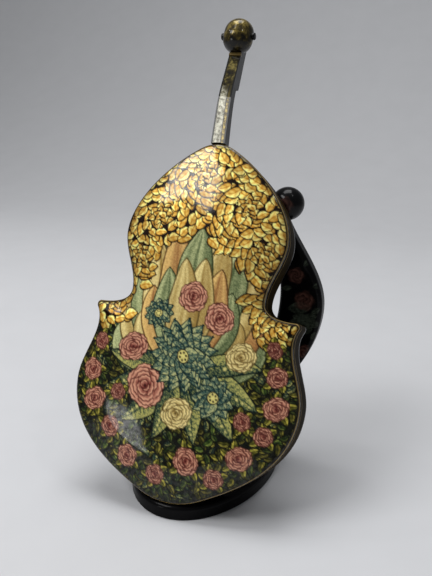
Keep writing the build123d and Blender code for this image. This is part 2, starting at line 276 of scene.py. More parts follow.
dress(brass(), "hinge_leaf_tray", "hinge_leaf_lid", "hinge_pin", "hinge_nails_tray", "hinge_nails_lid")
dress(plainWood(), "neck_dowel", "head_dowel", "arm_dowels", "finial_dowels")
print("brass and plain wood")


neckLook = {"paleLeafAndSheenDark": tint(84, 80, 60), "paleLeafAndSheenLight": tint(200, 197, 178), "goldDark": tint(72, 58, 20),
            "goldLight": tint(192, 168, 88), "footHalfWidth": 3.15, "footHeight": 146.9, "taper": 0.0093,
            "edgeLine": 0.7, "edgeSoft": 0.15, "seamAt": 1.05, "seamHalf": 0.17, "seamSoft": 0.1,
            "wander": 0.8, "fadeFrom": 168.0, "fadeTo": 178.0, "fadeSlant": 1.6, "fadeRagged": 9}
pegboxLook = {"deep": tint(10, 7, 2), "mid": tint(46, 40, 15), "bright": tint(120, 108, 56), "edgeLine": 0.6,
              "patch": 4.2, "fleck": 1.0}
ballLook = {"deep": tint(12, 9, 3), "mid": tint(56, 47, 17), "bright": tint(142, 124, 62), "mottle": 2.6}
nutLook = {"dark": tint(66, 54, 28), "light": tint(124, 104, 60)}


def neckFront(finish, edgeLine):                          # 1 on the front, inside its black edge lines
    across, up, _ = finish.boxAxes()
    half = neckLook["footHalfWidth"] - (up - neckLook["footHeight"]) * neckLook["taper"]
    soft = neckLook["edgeSoft"]
    inside = (half - abs(across)).between(edgeLine - soft, edgeLine + soft)
    return finish.facing(boxOut).between(0.5, 0.75) * inside


def goldLeafNeck():                                       # pale leaf with a painted reflection on it, beside a gold strip; black sides
    finish = Finish("gold_leaf_neck")
    place, seamAt = finish.place(), neckLook["seamAt"]
    across, up, _ = finish.boxAxes()
    across = across + (finish.noise(place, 5, 3) - 0.5) * neckLook["wander"]
    crackle = finish.noise(place, 1.5, 4, 0.7).between(0.36, 0.66)
    # Left of the gold strip, the pale leaf holds its own pale tone with a painted reflection laid in
    pale = finish.mix(crackle, neckLook["paleLeafAndSheenDark"], neckLook["paleLeafAndSheenLight"])
    gold = finish.mix(crackle, neckLook["goldDark"], neckLook["goldLight"])
    strip = across.between(seamAt - neckLook["seamSoft"], seamAt + neckLook["seamSoft"])
    leaf = finish.mix(strip, pale, gold)
    # Where the neck bends back, the painted reflection fades into the pegbox's darker gold: painted shade on
    # the bend
    ragged = (finish.noise(place, 3, 3) - 0.5) * neckLook["fadeRagged"]
    fade = (up + across * neckLook["fadeSlant"] + ragged).between(neckLook["fadeFrom"], neckLook["fadeTo"])
    leaf = finish.mix(fade, leaf, pegboxLook["mid"])
    seam = abs(across - seamAt).between(neckLook["seamHalf"], neckLook["seamHalf"] + neckLook["edgeSoft"])
    gilt = neckFront(finish, neckLook["edgeLine"]) * (seam * 0.85 + 0.15)
    colour = finish.mix(gilt, lacquerColour(finish, blackLook), leaf)
    return lacquered(finish, colour, 0.4, gilt * 0.25, 0.12, neckCoat)


def goldRamp(finish, value, look, low, middle, high):     # deep, mid and bright gold at three levels
    return finish.ramp(value, [(low, look["deep"]), (middle, look["mid"]), (high, look["bright"])])


def wornGoldPegbox():                                     # dark worn gold in patches, black sides
    finish = Finish("worn_gold_pegbox")
    place = finish.place()
    fleck = finish.noise(place, pegboxLook["fleck"], 3)
    patches = finish.noise(place, pegboxLook["patch"], 3, 0.6) * 0.7 + fleck * 0.3
    leaf = goldRamp(finish, patches, pegboxLook, 0.38, 0.5, 0.64)
    gilt = neckFront(finish, pegboxLook["edgeLine"])
    colour = finish.mix(gilt, lacquerColour(finish, blackLook), leaf)
    return lacquered(finish, colour, 0.34, gilt * 0.4, 0.12, neckCoat)


def antiqueGoldBall():                                    # worn gold, with painted shade darker below
    finish = Finish("antique_gold")
    place = finish.place()
    low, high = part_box("head_ball")
    height = (finish.axes(place)[2] - low.z) / (high.z - low.z)
    # The height term darkens the lower part of the ball: painted shade
    mottle = finish.noise(place, ballLook["mottle"], 5, 0.65) + (height - 0.6) * 0.35
    leaf = goldRamp(finish, mottle, ballLook, 0.36, 0.52, 0.7)
    return lacquered(finish, leaf, 0.34, mottle.between(0.4, 0.6) * 0.6, 0.3, neckCoat)


def paleGoldNut():
    finish = Finish("pale_gold")
    mottle = finish.noise(finish.place(), 1.2, 3)
    return lacquered(finish, finish.mix(mottle, nutLook["dark"], nutLook["light"]), 0.3, 0.4)


dress(goldLeafNeck(), "neck")
dress(wornGoldPegbox(), "pegbox")
dress(antiqueGoldBall(), "head_ball")
dress(paleGoldNut(), "nut")
print("gold on the neck and the head")


# Garland on the arms and the balls of the stand, in millimetres across (either side) and up.
garland = {
    "roses": [(34.0, 89.2, 3.7), (38.2, 78.0, 4.5), (39.4, 54.0, 3.4), (29.8, 101.5, 2.4)],    # place, radius
    "leaves": [(33.0, 70.4, 345, 10.0), (44.4, 71.6, 200, 8.0), (36.2, 63.0, 20, 7.0), (32.6, 83.6, 190, 5.0),
               (41.6, 84.6, 20, 5.0), (30.4, 94.0, 130, 4.6), (37.4, 93.6, 55, 4.4), (36.6, 59.4, 130, 5.0),
               (42.0, 60.0, 60, 4.6), (31.0, 98.0, 75, 4.0), (30.6, 73.6, 8, 11.0), (46.0, 67.4, 172, 9.0),
               (31.4, 66.8, 12, 8.0), (45.4, 75.4, 220, 5.0)],    # place, degrees, length
    "ballRose": (28.2, 120.2, 3.8), "armStrength": 0.9, "ballStrength": 0.6, "brush": 1.5,
    "deep": tint(42, 22, 18), "pale": tint(104, 70, 60),
    "leafDark": tint(26, 30, 24), "leafLight": tint(78, 86, 72), "leafWidth": 1.05,
}


def rosePaint(finish, colour, across, up, smear, rose, strength):
    x, y, radius = rose
    dx, dy = (across - x) / radius, (up - y) / radius
    reach = (dx * dx + dy * dy) ** 0.5 + smear * 0.5
    turn = finish.node("ShaderNodeMath", {"operation": "ARCTAN2"}, {0: dy, 1: dx})
    petals = (turn * 5.0 + reach * 7.0).sine() * 0.08 + 0.9           # five petals round the edge
    whorl = (turn * 3.0 - reach * 14.0).sine() * 0.5 + 0.5            # petals wound round the heart
    cover = (reach - petals).between(0.24, -0.2) * (smear + 0.85) * strength
    shade = whorl * 0.5 + reach * 0.25 + smear * 0.9 + 0.1
    return finish.mix(cover, colour, finish.mix(shade, garland["deep"], garland["pale"]))


def leafPaint(finish, colour, across, up, smear, leaf, strength):
    x, y, degrees, length = leaf
    c, s = cos(radians(degrees)), sin(radians(degrees))
    dx, dy = across - x, up - y
    run = (dx * c + dy * s) / length
    side = dy * c - dx * s
    half = run * (1 - run) * (length * garland["leafWidth"])
    cover = (abs(side) - half + smear * 1.2).between(0.3, -0.3) * (smear * 2.0 + 0.75) * strength
    vein = abs(side).between(0.25, 0.05) * 0.4
    shade = (side / length + 0.5).least(1.0) - vein + smear
    return finish.mix(cover, colour, finish.mix(shade, garland["leafDark"], garland["leafLight"]))


def gardenLacquer(name, roses, leaves, strength, coat):   # black lacquer, painted on the front and the back
    finish = Finish(name)
    x, _, up = [axis / mm for axis in finish.axes(finish.place())]
    across = abs(x)
    flat = abs(finish.facing(Vector((0, 1, 0)))).between(0.55, 0.8) * strength
    smear = finish.noise(finish.place(), garland["brush"], 3, 0.6) - 0.5    # brush marks
    colour = lacquerColour(finish, blackLook)
    for leaf in leaves:
        colour = leafPaint(finish, colour, across, up, smear, leaf, flat)
    for rose in roses:
        colour = rosePaint(finish, colour, across, up, smear, rose, flat)
    return lacquered(finish, colour, coat=coat)


armLacquer = gardenLacquer("garland_lacquer", garland["roses"], garland["leaves"], garland["armStrength"],
                           dimCoat)
ballLacquer = gardenLacquer("ball_lacquer", [garland["ballRose"]], [], garland["ballStrength"], blackCoat)
dress(armLacquer, "lyre_arm_left", "lyre_arm_right")
dress(ballLacquer, "finial_left", "finial_right")
print("garland on the stand")


# Lid: the domed board with its painting. Millimetres in the box's own frame, as in the solids.
violin = {"length": 150.5, "lowerBout": (49.4, 44.8), "corner": (45.2, 78.8), "cornerRound": 1.6,
          "waist": (29.7, 85.6), "upperBout": (36.1, 110.0), "footSlope": 25.0, "footRound": 30.0,
          "lowerFullness": 1.14, "flankFlare": 30.5, "shelfFullness": 1.15, "shoulderFullness": 0.92,
          "apexSlope": 29.0, "apexRound": 14.0, "counts": (40, 136, 88, 10, 46, 56, 116, 20)}
lid = {"floor": 13.35, "edgeRound": 1.8, "edgeTurn": 72.0, "edgeSteps": 8, "middle": (0.0, 72.0),
       "rise": 4.5, "fall": 16.0, "reach": (62.0, 95.0), "board": 2.4, "wall": 3.1, "liningRings": 12,
       "gridGap": 0.41, "gridMargin": 0.6, "smoothBelow": 38, "seed": 7}


def heading(degrees):
    return np.array((cos(radians(degrees)), sin(radians(degrees))))


def bowedCurve(count, start, startDegrees, end, endDegrees, fullness=1.0):
    start, end = np.array(start), np.array(end)
    reach = fullness * np.linalg.norm(end - start) / 3
    hands = [start, start + reach * heading(startDegrees), end - reach * heading(endDegrees), end]
    t = np.linspace(0, 1, count + 1)[:-1, None]
    weights = ((1 - t) ** 3, 3 * t * (1 - t) ** 2, 3 * t * t * (1 - t), t ** 3)
    return sum(weight * hand for weight, hand in zip(weights, hands))


def roundEnd(count, middle, radius, fromDegrees, toDegrees):
    turns = np.linspace(fromDegrees, toDegrees, count + 1)
    return [np.array(middle) + radius * heading(degrees) for degrees in turns]


def violinRing(inset):                                    # closed, counterclockwise seen from the front
    flare, slope, counts = violin["flankFlare"], violin["footSlope"], violin["counts"]
    lower, waist, upper = [(violin[key][0] - inset, violin[key][1])
                           for key in ("lowerBout", "waist", "upperBout")]
    foot = roundEnd(counts[0], (0.0, violin["footRound"]), violin["footRound"] - inset, -90, slope - 90)
    tip = np.array(violin["corner"]) - violin["cornerRound"] - inset
    corner = roundEnd(counts[3], tip, violin["cornerRound"], -flare, 90)
    apexAt, rise = (0.0, violin["length"] - violin["apexRound"]), violin["apexSlope"]
    apex = roundEnd(counts[7], apexAt, violin["apexRound"] - inset, 90 - rise, 90)
    half = np.concatenate([
        foot[:-1],
        bowedCurve(counts[1], foot[-1], slope, lower, 90, violin["lowerFullness"]),
        bowedCurve(counts[2], lower, 90, corner[0], 90 - flare),
        corner[:-1],
        bowedCurve(counts[4], corner[-1], 180, waist, 90, violin["shelfFullness"]),
        bowedCurve(counts[5], waist, 90, upper, 90),
        bowedCurve(counts[6], upper, 90, apex[0], 180 - rise, violin["shoulderFullness"]),
        apex])
    return np.concatenate([half, half[-2:0:-1] * (-1, 1)])


def distanceTo(ring, points):                             # shortest way from each point to a closed line
    tree = kdtree.KDTree(len(ring))
    for index, point in enumerate(ring):
        tree.insert((*point, 0), index)
    tree.balance()
    nearest = np.array([tree.find((x, y, 0))[1] for x, y in points])
    best = np.full(len(points), np.inf)
    for step in (-1, 1):
        start, end = ring[nearest], ring[(nearest + step) % len(ring)]
        run = end - start
        t = np.clip(((points - start) * run).sum(1) / (run * run).sum(1), 0, 1)
        best = np.minimum(best, np.linalg.norm(start + run * t[:, None] - points, axis=1))
    return best


def domeRise(points, fromRing):
    x, y = ((points - lid["middle"]) / lid["reach"]).T
    shoulder = 1 - (1 - np.clip(fromRing / lid["fall"], 0, 1)) ** 2
    return lid["rise"] * (1 - x * x - y * y) * shoulder


edgeAngles = np.radians(np.linspace(0, lid["edgeTurn"], lid["edgeSteps"] + 1))
edgeRings = [violinRing(lid["edgeRound"] * (1 - cos(angle))) for angle in edgeAngles]
edgeHeights = lid["floor"] + lid["edgeRound"] * np.sin(edgeAngles)
domeRing = edgeRings[-1]
ringSize = len(domeRing)

# Even grid of points inside the outline, triangulated together with it
xs = np.arange(-violin["lowerBout"][0], violin["lowerBout"][0], lid["gridGap"])
ys = np.arange(0, violin["length"], lid["gridGap"])
gridPoints = np.stack(np.meshgrid(xs, ys), -1).reshape(-1, 2)
rightSide = domeRing[:ringSize // 2 + 1]


def inOutline(points):
    return np.abs(points[:, 0]) < np.interp(points[:, 1], rightSide[:, 1], rightSide[:, 0])


gridPoints = gridPoints[inOutline(gridPoints)]
gridPoints = gridPoints[distanceTo(domeRing, gridPoints) > lid["gridMargin"] * lid["gridGap"]]
flatPoints = [Vector(point) for point in np.concatenate([domeRing, gridPoints]).tolist()]
domeFlat, _, domeFaces = delaunay_2d_cdt(flatPoints, [], [list(range(ringSize))], 1, 1e-6, False)[:3]
domePoints = np.array([tuple(point) for point in domeFlat])
domeFaces = np.array(domeFaces)
domeFaces = domeFaces[inOutline(domePoints[domeFaces].mean(1))].tolist()
domeDistance = distanceTo(domeRing, domePoints)
print("lid outline:", ringSize, "points, dome:", len(domePoints))


def placed(points, heights):
    return np.column_stack([points, np.broadcast_to(heights, len(points))])


liningRing = violinRing(lid["wall"])
liningScales = np.linspace(1, 0, lid["liningRings"] + 1)[:-1]
liningFlat = np.concatenate([np.array(lid["middle"]) + scale * (liningRing - lid["middle"])
                             for scale in liningScales] + [[lid["middle"]]])
liningHeight = edgeHeights[-1] - lid["board"] + domeRise(liningFlat, distanceTo(domeRing, liningFlat))
lidPoints = np.concatenate([placed(ring, height) for ring, height in zip(edgeRings[:-1], edgeHeights)]
                           + [placed(domePoints, edgeHeights[-1] + domeRise(domePoints, domeDistance)),
                              placed(liningFlat, np.maximum(liningHeight, lid["floor"]))])
domeStart = lid["edgeSteps"] * ringSize
liningStart = domeStart + len(domePoints)


def band(lower, upper):                                   # faces between two rings, looking outwards
    return [(lower + index, lower + (index + 1) % ringSize, upper + (index + 1) % ringSize, upper + index)
            for index in range(ringSize)]


paintedFaces = [face for step in range(lid["edgeSteps"])
                for face in band(step * ringSize, (step + 1) * ringSize)]
paintedFaces += [tuple(domeStart + index for index in face) for face in domeFaces]
liningFaces = band(liningStart, 0)
for ring in range(lid["liningRings"] - 1):
    liningFaces += band(liningStart + (ring + 1) * ringSize, liningStart + ring * ringSize)
lastRing, liningMiddle = liningStart + (lid["liningRings"] - 1) * ringSize, len(lidPoints) - 1
liningFaces += [(lastRing + (index + 1) % ringSize, lastRing + index, liningMiddle)
                for index in range(ringSize)]


# Painting of the lid, worked out point by point: a bouquet on a pale ground, gold foliage above, roses below.
class Picture:
    def __init__(self, points, random):
        self.x, self.y = points.T
        self.grain = random.uniform(-0.5, 0.5, len(points))
        self.colour = np.zeros((len(points), 3))
        self.gilt = np.zeros(len(points))

    def near(self, x, y, reach):
        return np.flatnonzero((np.abs(self.x - x) < reach) & (np.abs(self.y - y) < reach))

    def lay(self, where, cover, colour, gilt=0.0):
        cover = np.asarray(cover, float)
        self.colour[where] += cover[:, None] * (np.asarray(colour) - self.colour[where])
        self.gilt[where] += cover * (gilt - self.gilt[where])


def rgb(red, green, blue):
    return np.array((red, green, blue)) / 255


def ease(low, high, value):
    t = np.clip((value - low) / (high - low), 0, 1)
    return t * t * (3 - 2 * t)


def shaded(paint, level):                                 # from a paint's dark to its light
    return paint["dark"] + (paint["light"] - paint["dark"]) * np.clip(level, 0, 1)[:, None]


brushEdge = 0.22                                          # softness of a stroke's edge, millimetres
roseRings = ((6, 0.58, 0.45), (5, 0.45, 0.43), (4, 0.31, 0.37), (3, 0.18, 0.29), (2, 0.07, 0.18))
daisy = {"largeFrom": 10, "large": ((1.0, 15), (0.84, 13), (0.68, 11), (0.5, 9)),
         "small": ((1.0, 11), (0.76, 9)), "fullness": 7.2, "turn": 13, "heart": 0.38, "seeds": 6}


def paintLeaf(picture, x, y, degrees, length, width, paint, bend=0.0, tone=1.0):
    c, s = heading(degrees)
    where = picture.near(x + 0.5 * length * c, y + 0.5 * length * s, 0.62 * length + width)
    if not len(where):
        return
    dx, dy = picture.x[where] - x, picture.y[where] - y
    run = (dx * c + dy * s) / length
    side = dy * c - dx * s - bend * length * 4 * run * (1 - run)
    half = 0.5 * width * np.sin(pi * np.clip(run, 0, 1) ** 0.8) ** 0.85
    edge = np.abs(side) - half
    picture.lay(where, ease(0.75, 0.3, edge) * ((run > -0.06) & (run < 1.06)), paint["outline"])
    level = 0.38 + 0.4 * side / np.maximum(half, 0.1) + 0.32 * run
    level += 0.16 * np.sin(run * length * 2.6 - np.abs(side) * 2) - 0.5 * ease(0.4, 0.1, np.abs(side))
    level += paint["speckle"] * picture.grain[where]
    cover = ease(brushEdge, -brushEdge, edge) * ((run > 0) & (run < 1))
    picture.lay(where, cover, tone * shaded(paint, level), paint["gilt"])


def paintDot(picture, x, y, radius, colour, gilt=0.0):
    where = picture.near(x, y, radius + 1)
    reach = np.hypot(picture.x[where] - x, picture.y[where] - y)
    picture.lay(where, ease(radius + brushEdge, radius - brushEdge, reach), colour, gilt)


def paintRose(picture, x, y, radius, paint, degrees=0.0):
    paintDot(picture, x, y, radius * 1.02, paint["outline"])
    for count, ringAt, size in roseRings:                 # petals in a ring, its reach and their size
        for petal in range(count):
            sway = np.sin(7.0 * petal + 3.0 * count + degrees)
            c, s = heading(degrees + 37 * count + petal * 360 / count + 10 * sway)
            out = radius * ringAt * (1 + 0.1 * sway)
            px, py = x + out * c, y + out * s
            half = radius * size * (1 - 0.1 * sway)
            where = picture.near(px, py, half + 0.6)
            dx, dy = picture.x[where] - px, picture.y[where] - py
            outward, side = (dx * c + dy * s) / half, (dy * c - dx * s) / half
            ruffle = 1 + 0.05 * np.sin(9 * np.arctan2(side, outward) + petal)
            reach = np.hypot(outward, 0.86 * side) * ruffle
            level = 0.3 + 0.42 * outward + 0.45 * ease(0.62, 0.95, reach) * ease(-0.3, 0.5, outward)
            level += 0.1 * np.sin(12 * np.arctan2(side, outward + 1.5) + petal)
            soft = brushEdge / half
            picture.lay(where, ease(1 + 3 * soft, 1 + soft, reach) * 0.75, paint["dark"] * 0.65)
            picture.lay(where, ease(1 + soft, 1 - soft, reach), shaded(paint, level), paint["gilt"])
    paintDot(picture, x, y, radius * 0.08, paint["dark"] * 0.6)


def paintDaisy(picture, x, y, radius, paint, degrees=0.0):    # a large one has more rows of petals
    rows = daisy["large" if radius > daisy["largeFrom"] else "small"]
    for row, (reach, count) in enumerate(rows):
        length = reach * radius
        for petal in range(count):
            turn = degrees + daisy["turn"] * row + petal * 360 / count
            paintLeaf(picture, x, y, turn, length, daisy["fullness"] * length / count, paint, 0.03)
    heart = rows[-1][0] * radius * daisy["heart"]
    paintDot(picture, x, y, heart, paints["gold"]["outline"])
    paintDot(picture, x, y, heart * 0.87, paints["gold"]["light"] * 0.9, 0.5)
    for seed in range(daisy["seeds"]):
        c, s = heading(360 * seed / daisy["seeds"] + degrees)
        paintDot(picture, x + 0.55 * heart * c, y + 0.55 * heart * s, heart * 0.16, paints["gold"]["outline"])


def paintPetal(picture, line, width, paint, phase):       # a long petal along a line, streaked lengthwise
    middle, reach = (line.min(0) + line.max(0)) / 2, np.ptp(line, 0).max() / 2 + width + 1
    where = picture.near(*middle, reach)
    points = np.column_stack([picture.x[where], picture.y[where]])
    best, part, side = np.full(len(where), np.inf), np.zeros(len(where)), np.zeros(len(where))
    for index, (start, end) in enumerate(zip(line[:-1], line[1:])):
        run = end - start
        t = np.clip((points - start) @ run / (run @ run), 0, 1)
        off = points - start - t[:, None] * run
        gap = np.hypot(*off.T)
        closer = gap < best
        best[closer], part[closer] = gap[closer], (index + t[closer]) / (len(line) - 1)
        side[closer] = (run[0] * off[closer, 1] - run[1] * off[closer, 0]) / np.hypot(*run)
    half = 0.5 * width * np.sin(pi * np.clip(part, 0, 1) ** 1.15) ** 0.7 + 0.05
    picture.lay(where, ease(0.8, 0.3, best - half), paint["outline"])
    across = side / half
    streaks = 0.2 * np.sin(across * 4 + phase) + 0.12 * np.sin(across * 11 + 2 * phase)
    vein = 0.35 * ease(0.16, 0.04, np.abs(across))
    level = 0.42 + 0.26 * across + streaks + 0.4 * (part - 0.5) - vein
    level += paint["speckle"] * picture.grain[where]
    picture.lay(where, ease(brushEdge, -brushEdge, best - half), shaded(paint, level), paint["gilt"])


def bowed(start, middle, end, count=26):                  # smooth line through three places
    t = np.linspace(0, 1, count)[:, None]
    start, middle, end = np.array(start), np.array(middle), np.array(end)
    return start * (1 - t) * (1 - 2 * t) + middle * 4 * t * (1 - t) + end * t * (2 * t - 1)


def mixedPaint(dark, light, outline, speckle, gilt=0.0):
    return {"dark": rgb(*dark), "light": rgb(*light), "outline": rgb(*outline), "speckle": speckle,
            "gilt": gilt}


paints = {
    "gold": mixedPaint((172, 116, 34), (255, 242, 146), (20, 8, 2), 0.1, 0.6),
    "cream": mixedPaint((158, 128, 66), (248, 228, 156), (86, 68, 32), 0.3),
    "sage": mixedPaint((82, 96, 60), (200, 204, 146), (40, 50, 28), 0.45),
    "apricot": mixedPaint((152, 104, 58), (240, 200, 122), (80, 52, 24), 0.3),
    "teal": mixedPaint((22, 46, 42), (184, 178, 100), (6, 18, 16), 0.8),
    "blue": mixedPaint((34, 66, 66), (192, 192, 132), (16, 38, 38), 0.7),
    "rose": mixedPaint((112, 44, 38), (228, 168, 136), (40, 18, 12), 0.15),
    "olive": mixedPaint((44, 46, 10), (188, 174, 72), (14, 16, 4), 0.15),
    "green": mixedPaint((24, 42, 14), (126, 138, 60), (10, 14, 4), 0.2),
}
ornament = {                                              # millimetres; what varies has a least and a spread
    "wobble": 0.5,
    "arch": {"middle": (0.0, 68.0), "reach": (29.5, 44.0), "foot": 70.0, "footSoft": 3.0,
             "edge": (0.97, 1.03)},
    "green": rgb(13, 16, 7), "gold": rgb(26, 11, 3),
    "glow": {"colour": rgb(112, 118, 80), "edge": (1.02, 0.88), "rise": (26, 58)},
    "undergrowth": {"pitch": 2.45, "clear": (0.7, 0.2), "length": (3.0, 2.6), "width": 0.42,
                    "tone": (0.62, 0.5), "paints": ("olive", "green", "teal", "olive", "green")},
    "palmette": [                                         # petals from the back row to the front one
        {"foot": (0.0, 50.0), "reach": 1.03, "from": 4, "to": 176, "count": 11, "width": 17.0, "bow": 5.0,
         "paints": ["sage", "apricot", "cream", "sage", "cream"]},
        {"foot": (0.0, 50.0), "reach": 0.74, "from": 15, "to": 165, "count": 8, "width": 13.0, "bow": 4.0,
         "paints": ["cream", "sage", "apricot", "cream"]},
    ],
    "foliage": {"pitch": 3.75, "clear": 0.93, "swirl": (60, 40), "length": (4.5, 2.2), "width": 0.64,
                "tone": (0.95, 0.25)},
    "curls": [(-20.0, 118.0), (18.5, 124.0), (27.0, 104.0), (-27.0, 99.0), (-37.5, 80.0), (38.0, 79.0),
              (-3.0, 136.0)],
    "rosette": {"rings": ((1.0, 7), (0.62, 5)), "length": 5.4, "width": 0.68, "turn": 50, "dot": 0.8},
    "heart": (0.0, 54.0), "heartGap": 5,
    "leaves": [(-72, 25, 9), (-44, 29, 10), (-18, 31, 10), (8, 28, 9), (172, 28, 9), (198, 31, 10),
               (224, 29, 10), (252, 25, 9)],              # degrees, length, width
    "beads": {"count": 5, "from": 0.5, "step": 0.09, "radius": 0.75, "shrink": 0.08},
    "blooms": [(-13.0, 76.0, 6.4, "blue"), (13.0, 77.0, 6.0, "rose"), (0.5, 84.0, 6.0, "rose"),
               (24.0, 62.0, 5.6, "cream"), (-23.0, 61.0, 6.0, "rose"), (-14.5, 45.5, 8.2, "rose"),
               (14.5, 44.5, 8.8, "blue"), (0.5, 36.5, 6.4, "cream"), (0.0, 60.0, 14.5, "blue")],
    "roses": [(-38.5, 61.5, 3.24), (-41.5, 49.5, 4.32), (-38.0, 37.0, 4.86), (-28.5, 26.5, 3.96),
              (-19.0, 16.5, 4.5), (-5.5, 10.5, 3.78), (6.5, 18.5, 5.04), (18.5, 13.5, 3.96),
              (28.5, 23.0, 4.86), (36.5, 33.0, 3.78), (40.8, 44.5, 4.68), (39.0, 57.0, 3.78),
              (37.0, 67.0, 2.88), (-27.5, 41.0, 3.24), (27.5, 38.0, 3.42)],    # place and radius
    "spray": {"leaves": 5, "sway": 40, "out": 0.75, "length": 0.95, "width": 2.5, "tone": 1.1},
    "rim": {"dark": 1.9, "ground": rgb(20, 14, 8), "line": (0.75, 1.2), "colour": rgb(140, 118, 68),
            "gilt": 0.6, "shade": 0.72, "shadeReach": (1.5, 5.0)},
}


def handWobble(points):                                   # no stroke of the hand is quite straight
    x, y = points.T
    return np.column_stack([x + ornament["wobble"] * np.sin(0.21 * y + 0.13 * x),
                            y + ornament["wobble"] * np.sin(0.17 * x - 0.11 * y + 1.0)])


def scattered(pitch, random):                             # places on a staggered grid, each a little off
    halfWidth, length = violin["lowerBout"][0], violin["length"]
    for row in range(int(length / (0.86 * pitch)) + 1):
        for column in range(int(2 * halfWidth / pitch) + 1):
            place = np.array(((column + 0.5 * (row % 2)) * pitch - halfWidth, row * pitch * 0.86))
            yield (*(place + random.uniform(-0.32, 0.32, 2) * pitch), random.uniform())


def archReach(x, y):                                      # below 1 inside the arch
    (middleX, middleY), (reachX, reachY) = ornament["arch"]["middle"], ornament["arch"]["reach"]
    return np.hypot((x - middleX) / reachX, (y - middleY) / reachY)


def paintGrounds(picture):
    arch, glow = ornament["arch"], ornament["glow"]
    everywhere = np.arange(len(picture.x))
    reach, y = archReach(picture.x, picture.y), picture.y
    above = ease(arch["foot"] - arch["footSoft"], arch["foot"] + arch["footSoft"], y)
    picture.lay(everywhere, np.ones(len(y)), ornament["green"])
    picture.lay(everywhere, ease(*glow["edge"], reach) * ease(*glow["rise"], y), glow["colour"])
    picture.lay(everywhere, ease(*arch["edge"], reach) * above, ornament["gold"], 0.2)


def varied(pair, chance):                                 # a pair of least and spread
    return pair[0] + pair[1] * chance


def paintUndergrowth(picture, random):
    leaves = ornament["undergrowth"]
    for x, y, chance in scattered(leaves["pitch"], random):
        if y < ornament["arch"]["foot"] and archReach(x, y) > varied(leaves["clear"], chance):
            paint = paints[leaves["paints"][int(len(leaves["paints"]) * random.uniform())]]
            length, degrees = varied(leaves["length"], chance), 360 * random.uniform()
            tone = varied(leaves["tone"], random.uniform())
            paintLeaf(picture, x, y, degrees, length, leaves["width"] * length, paint, 0.1, tone)


def paintPalmette(picture):                               # long petals that fan out in rows
    arch = ornament["arch"]
    for row, petals in enumerate(ornament["palmette"]):
        count, foot = petals["count"], np.array(petals["foot"])
        for petal in sorted(range(count), key=lambda index: -abs(index - (count - 1) / 2)):
            turn = radians(petals["from"] + (petals["to"] - petals["from"]) * petal / (count - 1))
            reach = petals["reach"] * np.array(arch["reach"])
            end = np.array(arch["middle"]) + reach * (cos(turn), sin(turn))
            middle = foot + 0.52 * (end - foot) + petals["bow"] * np.array((cos(turn), -0.3))
            paint = paints[petals["paints"][petal % len(petals["paints"])]]
            paintPetal(picture, bowed(foot, middle, end), petals["width"], paint, 1.7 * petal + row)


def paintGoldFoliage(picture, random):
    leaves, rosette, curls, gold = ornament["foliage"], ornament["rosette"], ornament["curls"], paints["gold"]
    for x, y, chance in scattered(leaves["pitch"], random):
        if y > ornament["arch"]["foot"] and archReach(x, y) > leaves["clear"]:
            curlX, curlY = min(curls, key=lambda curl: hypot(curl[0] - x, curl[1] - y))
            degrees = np.degrees(atan2(y - curlY, x - curlX)) + varied(leaves["swirl"], random.uniform())
            length, tone = varied(leaves["length"], chance), varied(leaves["tone"], random.uniform())
            paintLeaf(picture, x, y, degrees, length, leaves["width"] * length, gold, 0.12, tone)
    for x, y in curls:                                    # a rosette of leaves in the heart of each curl
        for ring, count in rosette["rings"]:
            length = rosette["length"] * ring
            for leaf in range(count):
                degrees = 360 * leaf / count + rosette["turn"] * ring
                paintLeaf(picture, x, y, degrees, length, rosette["width"] * length, gold, 0.1)
        paintDot(picture, x, y, rosette["dot"], gold["light"], 0.5)


def paintBouquet(picture):
    (heartX, heartY), gap, beads = ornament["heart"], ornament["heartGap"], ornament["beads"]
    beadColour = 0.85 * paints["gold"]["light"]
    for degrees, length, width in ornament["leaves"]:
        c, s = heading(degrees)
        paintLeaf(picture, heartX + gap * c, heartY + gap * s, degrees, length, width, paints["teal"], 0.05)
        for bead in range(beads["count"]):
            out = gap + length * (beads["from"] + beads["step"] * bead)
            radius = beads["radius"] - beads["shrink"] * bead
            paintDot(picture, heartX + out * c, heartY + out * s, radius, beadColour, 0.5)
    for index, (x, y, radius, paint) in enumerate(ornament["blooms"]):
        paintFlower = paintDaisy if paint == "blue" else paintRose
        paintFlower(picture, x, y, radius, paints[paint], 47 * index)


def paintRoses(picture, random):                          # each on a spray of leaves
    spray, olive = ornament["spray"], paints["olive"]
    for x, y, radius in ornament["roses"]:
        out, length = spray["out"] * radius, spray["length"] * radius
        for leaf in range(spray["leaves"]):
            degrees = 360 * leaf / spray["leaves"] + spray["sway"] * random.uniform()
            c, s = heading(degrees)
            paintLeaf(picture, x + out * c, y + out * s, degrees, length, spray["width"], olive, 0.1,
                      spray["tone"])
        paintRose(picture, x, y, radius, paints["rose"], 360 * random.uniform())


def paintRim(picture, fromEdge):                          # darker near the edge, dark rim with a gold line
    rim = ornament["rim"]
    everywhere, (lineStart, lineEnd) = np.arange(len(picture.x)), rim["line"]
    picture.colour *= (rim["shade"] + (1 - rim["shade"]) * ease(*rim["shadeReach"], fromEdge))[:, None]
    picture.lay(everywhere, ease(rim["dark"] + 0.3, rim["dark"] - 0.3, fromEdge), rim["ground"])
    line = ease(lineStart - 0.15, lineStart, fromEdge) * ease(lineEnd + 0.15, lineEnd, fromEdge)
    picture.lay(everywhere, line, rim["colour"], rim["gilt"])


def paintLid(points, fromEdge):
    random = np.random.default_rng(lid["seed"])
    picture = Picture(handWobble(points), random)
    paintGrounds(picture)
    paintUndergrowth(picture, random)
    paintPalmette(picture)
    paintGoldFoliage(picture, random)
    paintBouquet(picture)
    paintRoses(picture, random)
    paintRim(picture, fromEdge)
    return picture


paintedFlat = np.concatenate(edgeRings[:-1] + [domePoints])
edgeLength = lid["edgeRound"] * edgeAngles
paintedFromEdge = np.concatenate([np.repeat(edgeLength[:-1], ringSize), edgeLength[-1] + domeDistance])
picture = paintLid(paintedFlat, paintedFromEdge)
print("lid painted")

